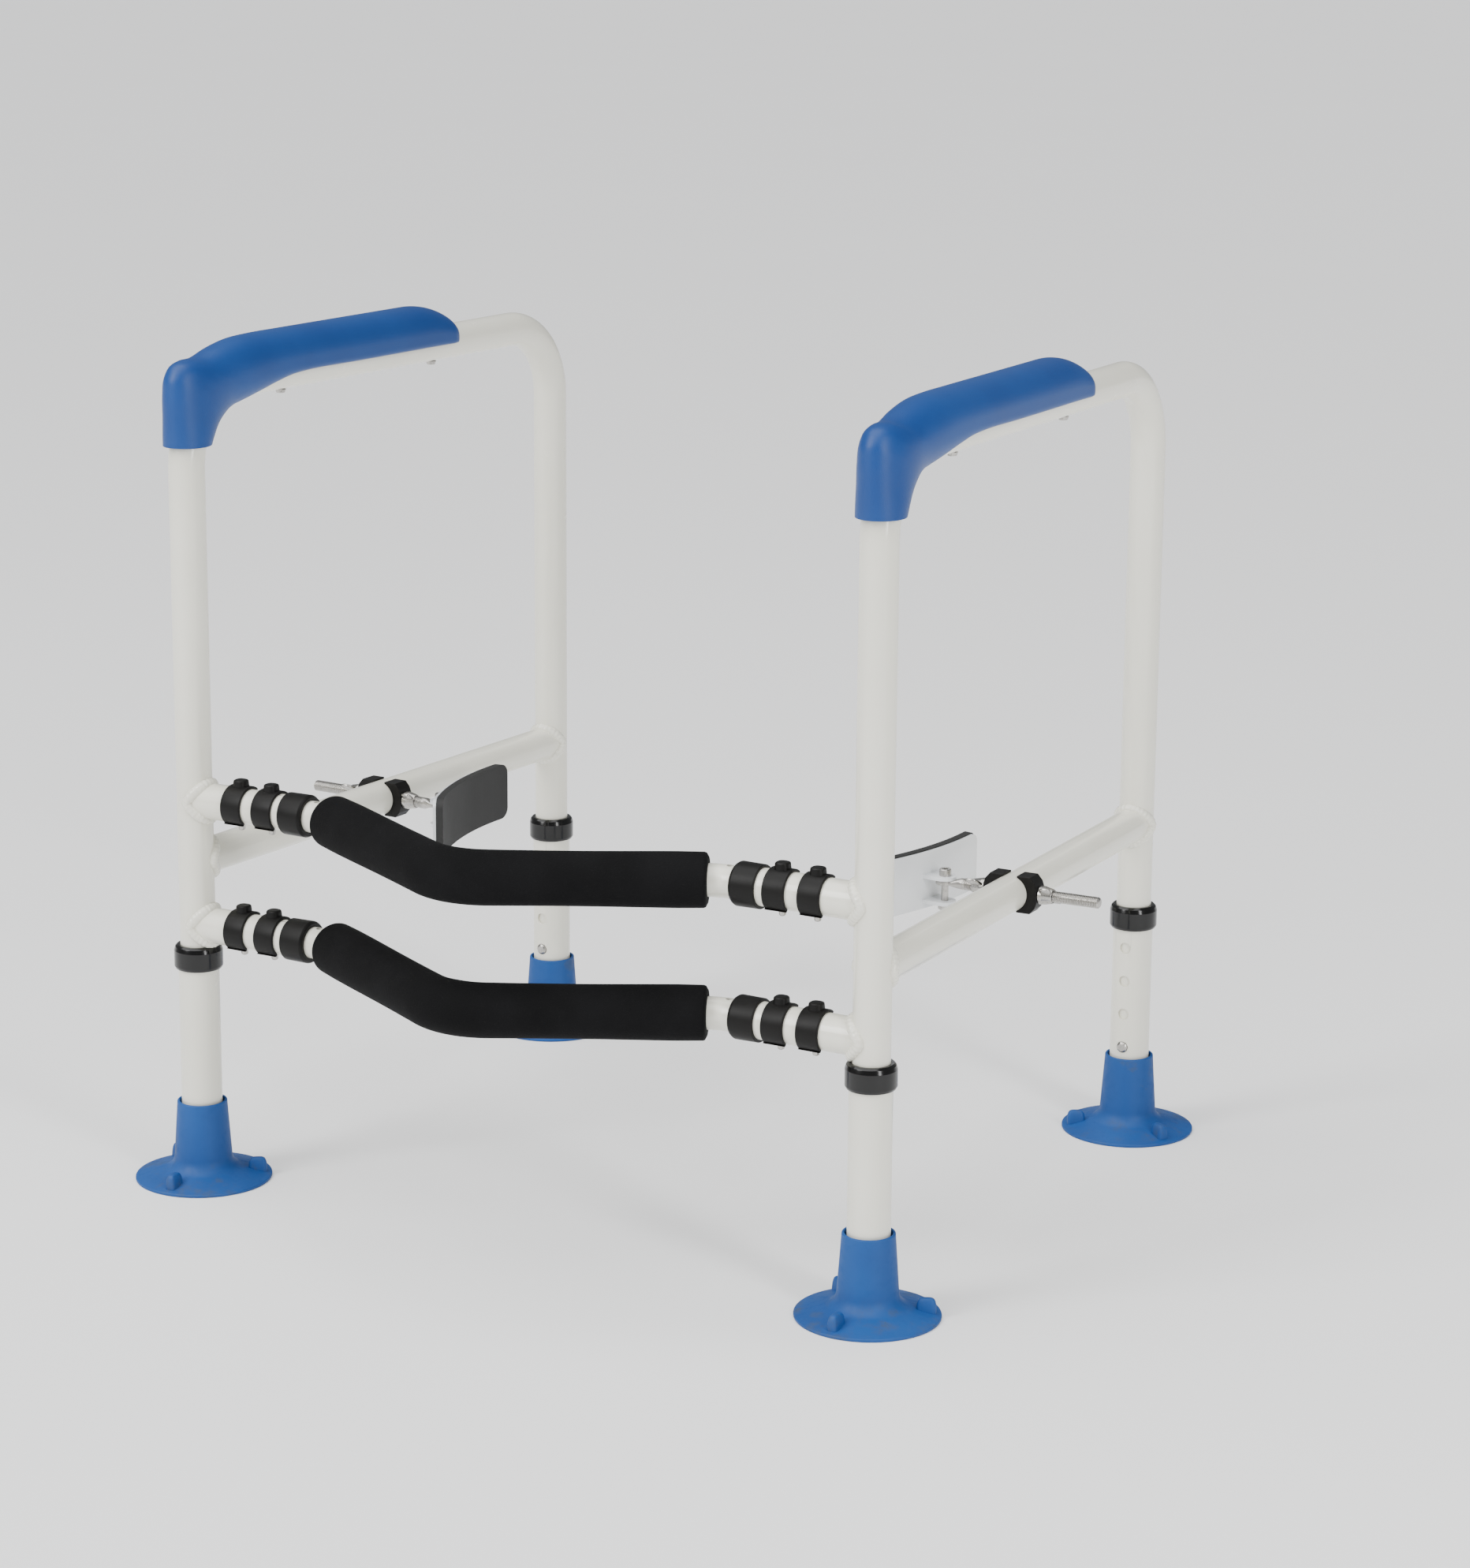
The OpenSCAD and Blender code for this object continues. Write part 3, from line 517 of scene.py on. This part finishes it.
def gripSurface():
    # point = waist + half height * signed power of cos a + half width * signed power of sin a
    t = np.linspace(0, gripRows[-1][0], gripMesh["stations"])
    rows = curve(t, [r[0] for r in gripRows], [r[1:] for r in gripRows])
    e = np.linspace(0, math.pi / 2, gripNose["rows"])[1:]
    # quarter ellipse down to the rear end, with rounded corners in plan
    tip = np.tile(rows[-1], (len(e), 1))
    y = 1000 * (gripNose["start"] + gripNose["length"] * np.sin(e))
    tip[:, 0] = tip[:, 2] = y
    tip[:, 1] = tip[:, 3] + (tip[:, 1] - tip[:, 3]) * np.cos(e) ** gripNose["crown"]
    c = 1000 * gripNose["corner"]
    past = np.clip(y - (1000 * (gripNose["start"] + gripNose["length"]) - c), 0, c)
    tip[:, 4] -= c - np.sqrt(c * c - past * past)
    rim = np.tile(rows[0], (len(gripRim), 1))
    rim[:, :5] += gripRim
    rows = np.concatenate([rim, rows, tip]) / ((1000,) * 5 + (1,) * 3)
    outer, inner = rows[:, None, 0:2], rows[:, None, 2:4]
    width, waist, high, low = rows[:, 4:5], rows[:, 5:6, None], rows[:, 6:7], rows[:, 7:8]
    a = circle(gripMesh["turns"])[None, :]
    power = 2 / np.where(np.cos(a) > 0, high, low)
    up = np.sign(np.cos(a)) * np.abs(np.cos(a)) ** power
    out = np.sign(np.sin(a)) * np.abs(np.sin(a)) ** power
    centre = inner + (outer - inner) * waist
    reach = np.where(up[..., None] > 0, (outer - inner) * (1 - waist), (outer - inner) * waist)
    yz = centre + reach * up[..., None]
    return np.stack([width * out, yz[..., 0], yz[..., 1] + armZ], -1)


for side in sides:
    skin = inSide(gripSurface(), side)
    made = piece(f"armrest_grip_{side}.moulded", [(skin, False, True)], blueGrip,
                 f"armrest_grip_{side}", sharp=48)
    refined(f"grip_screws_{side}", metal, 0.0003)
print("grips made")

bow = {"endBend": 0.038, "middleBend": 0.050, "angle": math.radians(29), "bendX": 0.156,
       "bare": math.radians(25)}  # how much of each end bend the foam leaves bare
foamShape = {
    "radius": 0.0184, "bore": 0.01115, "edge": 0.0030, "faceStep": 0.001, "rings": 260, "turns": 72,
    "crowdReach": 0.035, "crowdSink": 0.0004, "foldHeight": 0.00022, "foldLength": 0.0042,
    "driftAlong": (0.00018, 41, 1.3), "driftAround": (0.00012, 23), "driftFade": 0.02}


def bowHalf(count):
    # half of the bowed line from the middle outwards, even in length: an arc, a slant and an arc;
    # x, y, direction and length along
    rise, tangent = bow["angle"], bow["endBend"] * math.tan(bow["angle"] / 2)
    slant = bow["bendX"] / math.cos(rise) - tangent - bow["middleBend"] * math.tan(rise)
    deep = bow["bendX"] * math.tan(rise) - bow["middleBend"] * (1 / math.cos(rise) - 1)
    one, three = bow["middleBend"] * rise, bow["endBend"] * (rise - bow["bare"])
    s = np.linspace(0, one + slant + three, count)
    first = np.clip(s, 0, one) / bow["middleBend"]
    last = np.clip(s - one - slant, 0, three) / bow["endBend"]
    run = np.clip(s - one, 0, slant)
    end = rise - last
    x = (bow["middleBend"] * np.sin(first) + run * math.cos(rise)
         + bow["endBend"] * (math.sin(rise) - np.sin(end)))
    y = (bow["middleBend"] * (1 - np.cos(first)) + run * math.sin(rise)
         + bow["endBend"] * (np.cos(end) - math.cos(rise)) - deep)
    return x, y, first - last, s


def foamSurface():
    # rings about the bowed line: point = path + radius (cos a normal + sin a up)
    x, y, turn, s = bowHalf(foamShape["rings"] // 2)
    x, y, turn = (np.concatenate([k * v[:0:-1], v]) for v, k in ((x, -1), (y, 1), (turn, -1)))
    along = np.concatenate([-s[:0:-1], s])
    path = np.stack([x, y, 0 * x], -1)
    normal = np.stack([np.sin(turn), -np.cos(turn), 0 * turn], -1)
    up = np.tile((0.0, 0, 1), (len(path), 1))
    r, edge, reach = foamShape["radius"], foamShape["edge"], s[-1]
    # ends rounded over: radius = r - edge + sqrt(edge^2 - inset^2)
    inset = np.clip(edge - (reach - np.abs(along)), 0, edge)
    body = r - edge + np.sqrt(edge * edge - inset * inset)
    a = circle(foamShape["turns"])
    # the foam crowds on the inside of the middle bend: it sinks there and folds as cos(length / fold)
    inside = np.clip(-np.cos(a), 0, 1)[None, :] ** 2
    crowd = np.exp(-(along / foamShape["crowdReach"]) ** 2)[:, None] * inside
    folds = foamShape["foldHeight"] * np.cos(along / foamShape["foldLength"])[:, None] * crowd
    # slow uneven swelling, which fades before the ends
    size, rate, phase = foamShape["driftAlong"]
    drift = size * np.sin(along * rate + phase)[:, None]
    size, rate = foamShape["driftAround"]
    drift = drift + size * np.sin(2 * a + along[:, None] * rate)
    drift = drift * np.clip((reach - np.abs(along)) / foamShape["driftFade"], 0, 1)[:, None]
    outer = sweep(path, normal, up, body[:, None] + folds + drift - foamShape["crowdSink"] * crowd, a)
    ends = [0, -1]
    faceRadius = np.array([[foamShape["bore"] + foamShape["faceStep"]]] * 2)
    face = sweep(path[ends], normal[ends], up[ends], faceRadius, a)
    inner = sweep(path, normal, up, foamShape["bore"], a)
    return np.concatenate([face[:1], outer, face[1:], inner[::-1]])


for level in barZ:
    sleeve = foamSurface() + (0, frontLeg[1], barZ[level])
    made = piece(f"{level}_foam.sleeve", [(sleeve, True, True)], foam, f"{level}_foam", sharp=60)
    refined(f"{level}_bar", white, 0.0002)
print("front bars made")

cuff = {
    "x": 0.170,
    "outline": [  # radius, distance from the mouth, rounding
        (0.01275, 0.0190, 0), (0.0148, 0.0190, 0.0006), (0.0150, 0.0020, 0.0014), (0.0138, 0, 0.0008),
        (0.0112, 0, 0.0006), (0.0112, 0.0015, 0), (0.01275, 0.0015, 0)]}
clip = {"radius": 0.0128, "thick": 0.002, "width": 0.0165, "start": 50, "end": 232,  # in degrees
        "flare": 0.0024, "flareWay": (0.97, 0.25), "lean": 1.25,  # the lip's length, way and turn
        "inEdge": 0.0006, "outEdge": 0.0009,
        "startTaper": (0.86, 0.95, 0.99), "endTaper": (0.99, 0.97, 0.93, 0.86)}
boss = {"outline": [(0, 0.0130, 0), (0.0054, 0.0130, 0), (0.0048, 0.0189, 0.0014), (0, 0.0191, 0)],
        "power": 2.7}
pin = {"outline": [(0, -0.0174, 0), (0.0024, -0.0174, 0.0015), (0.0024, 0.0170, 0.0002), (0, 0.0170, 0)],
       "steps": 40}
pinX = {"inner": 0.2033, "outer": 0.2293}


def clipBand(n=90):
    # rounded strip section carried along an arc, then straight on outwards as the lip
    half, t, inEdge, outEdge = clip["width"] / 2, clip["thick"], clip["inEdge"], clip["outEdge"]
    strip = rounded([(0, 0, 0), (half, 0, inEdge), (half, t, outEdge), (-half, t, outEdge),
                     (-half, 0, inEdge), (0, 0, 0)], 5)[:-1]
    lipRows = 12
    angle = np.concatenate([np.linspace(clip["start"], clip["end"], n), np.full(lipRows, clip["end"])])
    a = np.radians(angle)
    lip = np.concatenate([np.zeros(n), np.linspace(0, clip["flare"], lipRows + 1)[1:]])
    kick = np.clip(lip / clip["flare"], 0, 1)
    out = np.stack([0 * a, np.cos(a), np.sin(a)], -1)
    tangent = np.stack([0 * a, -np.sin(a), np.cos(a)], -1)
    outwards, onwards = clip["flareWay"]
    centre = out * clip["radius"] + tangent * lip[:, None] * onwards + out * lip[:, None] * outwards
    # on the lip the strip's thickness turns from radial to along the arc
    lean = kick[:, None] * clip["lean"]
    thick = out * np.cos(lean) - tangent * np.sin(lean)
    taper = np.ones(len(a))
    taper[:len(clip["startTaper"])] = clip["startTaper"]
    taper[-len(clip["endTaper"]):] = clip["endTaper"]
    wide = strip[None, :, 0:1] * taper[:, None, None] * np.array((1.0, 0, 0))
    return centre[:, None] + wide + strip[None, :, 1:2] * thick[:, None]


def squircle(profile, power, steps=56):
    # a turned profile whose circle is squarer: r (|cos a|^p + |sin a|^p)^(-1/p)
    r, h = np.array(profile, float).T[:, :, None]
    a = circle(steps)[None, :]
    k = (np.abs(np.cos(a)) ** power + np.abs(np.sin(a)) ** power) ** (-1 / power)
    return np.stack([r * k * np.cos(a), r * k * np.sin(a), h + 0 * a], -1)


for side in sides:
    ring = lathe(rounded(cuff["outline"], 6), 96, "x")
    parts = [(atBar(ring, side, cuff["x"], level), True, True) for level in barZ]
    piece(f"socket_collars_{side}.turned", parts, matt, f"socket_collars_{side}")
    for level in barZ:
        for index, x in pinX.items():
            tag = f"{level}_{index}_{side}"
            grids = [clipBand(), squircle(rounded(boss["outline"], 8), boss["power"])]
            parts = [(atBar(g, side, x, level), False, True) for g in grids]
            made = piece(f"clip_{tag}.moulded", parts, matt, f"clip_{tag}", sharp=55)
            rod = atBar(lathe(rounded(pin["outline"], 8), pin["steps"]), side, x, level)
            made = piece(f"pin_{tag}.turned", [(rod, False, True)], metal, f"pin_{tag}")
print("clips made")

# along the rod from the rail's axis, outwards positive
thread = {"radius": 0.0040, "pitch": 0.00125, "depth": 0.00065, "from": -0.038, "to": 0.0642,
          "steep": 1.3, "crest": 1.25, "runIn": 0.003, "runOut": 0.0006, "chamfer": 0.0009}
eye = {"at": -0.052, "thick": 0.0032, "neckFrom": 0.0045, "neckWide": 0.0048, "neckPower": 5,
       "outline": [(0.0026, -0.0016, 0), (0.0065, -0.0016, 0.0006), (0.0065, 0.0016, 0.0006),
                   (0.0026, 0.0016, 0.0003), (0.0026, 0.0, 0)]}
wing = {"seat": 0.0202, "half": (0.0046, 0.0015, 0.0062), "power": 2.8, "at": 0.0062, "out": 0.0082,
        "lean": 0.28, "turn": math.radians(58),
        "hub": [(0.00405, 0, 0), (0.0065, 0, 0.0004), (0.0065, 0.003, 0.0012), (0.0050, 0.010, 0.0008),
                (0.0046, 0.010, 0.0003), (0.00405, 0.0092, 0)]}
bolt = {  # rows of radius or half width, height, and 1 for a hexagon or 0 for round
    "seat": 0.00435,
    "head": [(0, 0.0022, 1), (0.0019, 0.0022, 1), (0.0020, 0.0048, 1), (0.0023, 0.0050, 0),
             (0.0038, 0.0050, 0), (0.00425, 0.0045, 0), (0.00425, 0.0002, 0), (0.0041, 0, 0),
             (0.0025, 0, 0)],
    "shank": [(0.0025, -0.0205, 0), (0.0021, -0.0216, 0), (0, -0.0216, 0)],
    "nut": [(0.0026, -0.0159, 0), (0.0037, -0.0159, 0), (0.0040, -0.0163, 0.8), (0.0040, -0.0166, 1),
            (0.0040, -0.0192, 1), (0.0040, -0.0195, 0.8), (0.0037, -0.0199, 0), (0.0026, -0.0199, 0)]}


def threadedRod(steps=64, perTurn=10):
    # radius drops with a triangle wave of (x / pitch - angle / turn): a single-start helix
    low, high, radius = thread["from"], thread["to"], thread["radius"]
    x = np.linspace(low, high, int((high - low) / thread["pitch"] * perTurn))
    a = circle(steps)
    phase = (x[:, None] / thread["pitch"] - a[None, :] / (2 * math.pi)) % 1
    groove = np.clip(thread["steep"] * (1 - np.abs(2 * phase - 1) * thread["crest"]), 0, 1)
    fade = np.clip((x - low) / thread["runIn"], 0, 1) * np.clip((high - x) / thread["runOut"], 0, 1)
    r = radius - thread["depth"] * groove * fade[:, None]
    chamfer = thread["chamfer"]
    r = np.minimum(r, radius - chamfer * np.clip(1 - (high - x) / chamfer, 0, 1)[:, None])
    body = np.stack([x[:, None] + 0 * r, r * np.cos(a), r * np.sin(a)], -1)
    # the plain end is pressed flat towards the eye: height shrinks while the width grows
    u = np.linspace(0, 1, 26)[:, None]
    ease = u * u * (3 - 2 * u)
    neckFrom = eye["at"] + eye["neckFrom"]
    flatX = neckFrom + (low - neckFrom) * u
    tall = eye["thick"] / 2 + (radius - eye["thick"] / 2) * ease
    wide = eye["neckWide"] + (radius - eye["neckWide"]) * ease
    n = 2 / (eye["neckPower"] + (2 - eye["neckPower"]) * ease)
    c, s = np.cos(a)[None, :], np.sin(a)[None, :]
    y, z = wide * np.sign(c) * np.abs(c) ** n, tall * np.sign(s) * np.abs(s) ** n
    neck = np.stack([flatX + 0 * c, y, z], -1)
    cap = np.tile(body[-1:].mean(1, keepdims=True), (1, steps, 1)) + (0.0001, 0, 0)
    start = np.tile(neck[:1].mean(1, keepdims=True), (1, steps, 1))
    return np.concatenate([start, neck, body, cap])


def hexagon(profile, steps=96):
    # rows (d, h, k): radius d (1 + k (1 / cos f - 1)), f the angle from the middle of the nearest
    # of six sides, so k = 0 is round and k = 1 a hexagon of half width d
    d, h, k = np.array(profile, float).T[:, :, None]
    a = circle(steps)[None, :]
    facet = (a + math.pi / 6) % (math.pi / 3) - math.pi / 6
    r = d * (1 + k * (1 / np.cos(facet) - 1))
    return np.stack([r * np.cos(a), r * np.sin(a), h + 0 * a], -1)


for side in sides:
    lug = lathe(rounded(eye["outline"], 5), 72) + (eye["at"], 0, 0)
    parts = [(atClamp(threadedRod(), side), False, True), (atClamp(lug, side), True, True)]
    piece(f"clamp_rod_{side}.threaded", parts, metal, f"clamp_rod_{side}", sharp=50)
    c, s = math.cos(wing["turn"]), math.sin(wing["turn"])
    about = np.array(((1, 0, 0), (0, c, s), (0, -s, c)))  # turns the leaves about the rod
    parts = []
    for way in (1, -1):
        grids = [(lathe(rounded(wing["hub"], 6), 72, "x"), True)]
        for up in (1, -1):
            leaf = blob(wing["half"], wing["power"]) + (wing["at"], 0, 0)
            leaf[..., 0] += wing["lean"] * leaf[..., 2]  # leaves lean outwards
            leaf[..., 2] += wing["out"]
            grids.append((leaf * (1, 1, up), False))
        parts += [(atClamp((g @ about + (wing["seat"], 0, 0)) * (way, 1, 1), side), loop, True)
                  for g, loop in grids]
    piece(f"wing_nuts_{side}.cast", parts, metal, f"wing_nuts_{side}", sharp=45)
    refined(f"saddle_washers_{side}", matt, 0.0009, 3)
    refined(f"clamp_plate_{side}", plateWhite, 0.0005, 3)
    refined(f"clamp_pad_{side}", rubber, 0.0007, 3)
    head = [(d, bolt["seat"] + h, k) for d, h, k in bolt["head"]]
    grids = [(hexagon(head + bolt["shank"]), False), (hexagon(bolt["nut"]), True)]
    parts = [(atClamp(g + (eye["at"], 0, 0), side), loop, True) for g, loop in grids]
    piece(f"swivel_bolt_{side}.turned", parts, metal, f"swivel_bolt_{side}", sharp=35)
print("clamps made")


def paleFloor(p):
    return {"Base Color": p.noise(1.5, 2.0).blend((0.94, 0.94, 0.94, 1), (0.96, 0.96, 0.96, 1))}


floorMat = finish("floor", paleFloor, Roughness=0.7)
bpy.ops.mesh.primitive_plane_add(size=80, location=(0, 0, 0))
floor = bpy.context.object
floor.name = "floor"
floor.data.materials.append(floorMat)

studio = {"air": (0.95, 0.97, 1.0, 1), "airStrength": 0.30,
          "sun": 3.3, "sunAngle": 70, "sunTilt": (14, -12)}  # angles in degrees
world = bpy.data.worlds.new("studio")
bpy.context.scene.world = world
world.use_nodes = True
world.node_tree.nodes["Background"].inputs[0].default_value = studio["air"]
world.node_tree.nodes["Background"].inputs[1].default_value = studio["airStrength"]


def softbox(name, place, target, size, power):
    light = bpy.data.lights.new(name, "AREA")
    light.shape = "RECTANGLE"
    light.size, light.size_y = size
    light.energy = power
    made = bpy.data.objects.new(name, light)
    made.location = place
    made.rotation_euler = (Vector(target) - Vector(place)).to_track_quat("-Z", "Y").to_euler()
    bpy.context.scene.collection.objects.link(made)


softbox("key", (-1.5, -2.8, 2.2), (0, 0, 0.3), (1.2, 1.8), 80)
softbox("strip", (2.6, -1.2, 1.5), (0.1, 0, 0.3), (0.5, 2.2), 50)
sky = bpy.data.lights.new("overhead", "SUN")
sky.energy = studio["sun"]
sky.angle = math.radians(studio["sunAngle"])
overhead = bpy.data.objects.new("overhead", sky)
overhead.rotation_euler = (*np.radians(studio["sunTilt"]), 0)
bpy.context.scene.collection.objects.link(overhead)

view = {"lens": 92.99, "place": (1.4289, frontLeg[1] - 2.21412, 0.9633),
        "azimuth": 29.677, "down": 13.63, "roll": 0.424}  # in degrees
azimuth, down, roll = (math.radians(view[k]) for k in ("azimuth", "down", "roll"))
forwards = Vector((-math.sin(azimuth), math.cos(azimuth), 0))
sideways = Vector((math.cos(azimuth), math.sin(azimuth), 0))
ahead = forwards * math.cos(down) - Vector((0, 0, math.sin(down)))
upwards = forwards * math.sin(down) + Vector((0, 0, math.cos(down)))
cameraX = sideways * math.cos(roll) + upwards * math.sin(roll)
cameraY = upwards * math.cos(roll) - sideways * math.sin(roll)
lens = bpy.data.cameras.new("camera")
lens.lens = view["lens"]
lens.sensor_width = 36
lens.clip_end = 200
camera = bpy.data.objects.new("camera", lens)
camera.matrix_world = Matrix((cameraX, cameraY, -ahead)).transposed().to_4x4()
camera.location = view["place"]
bpy.context.scene.collection.objects.link(camera)
bpy.context.scene.camera = camera
print("stage set")
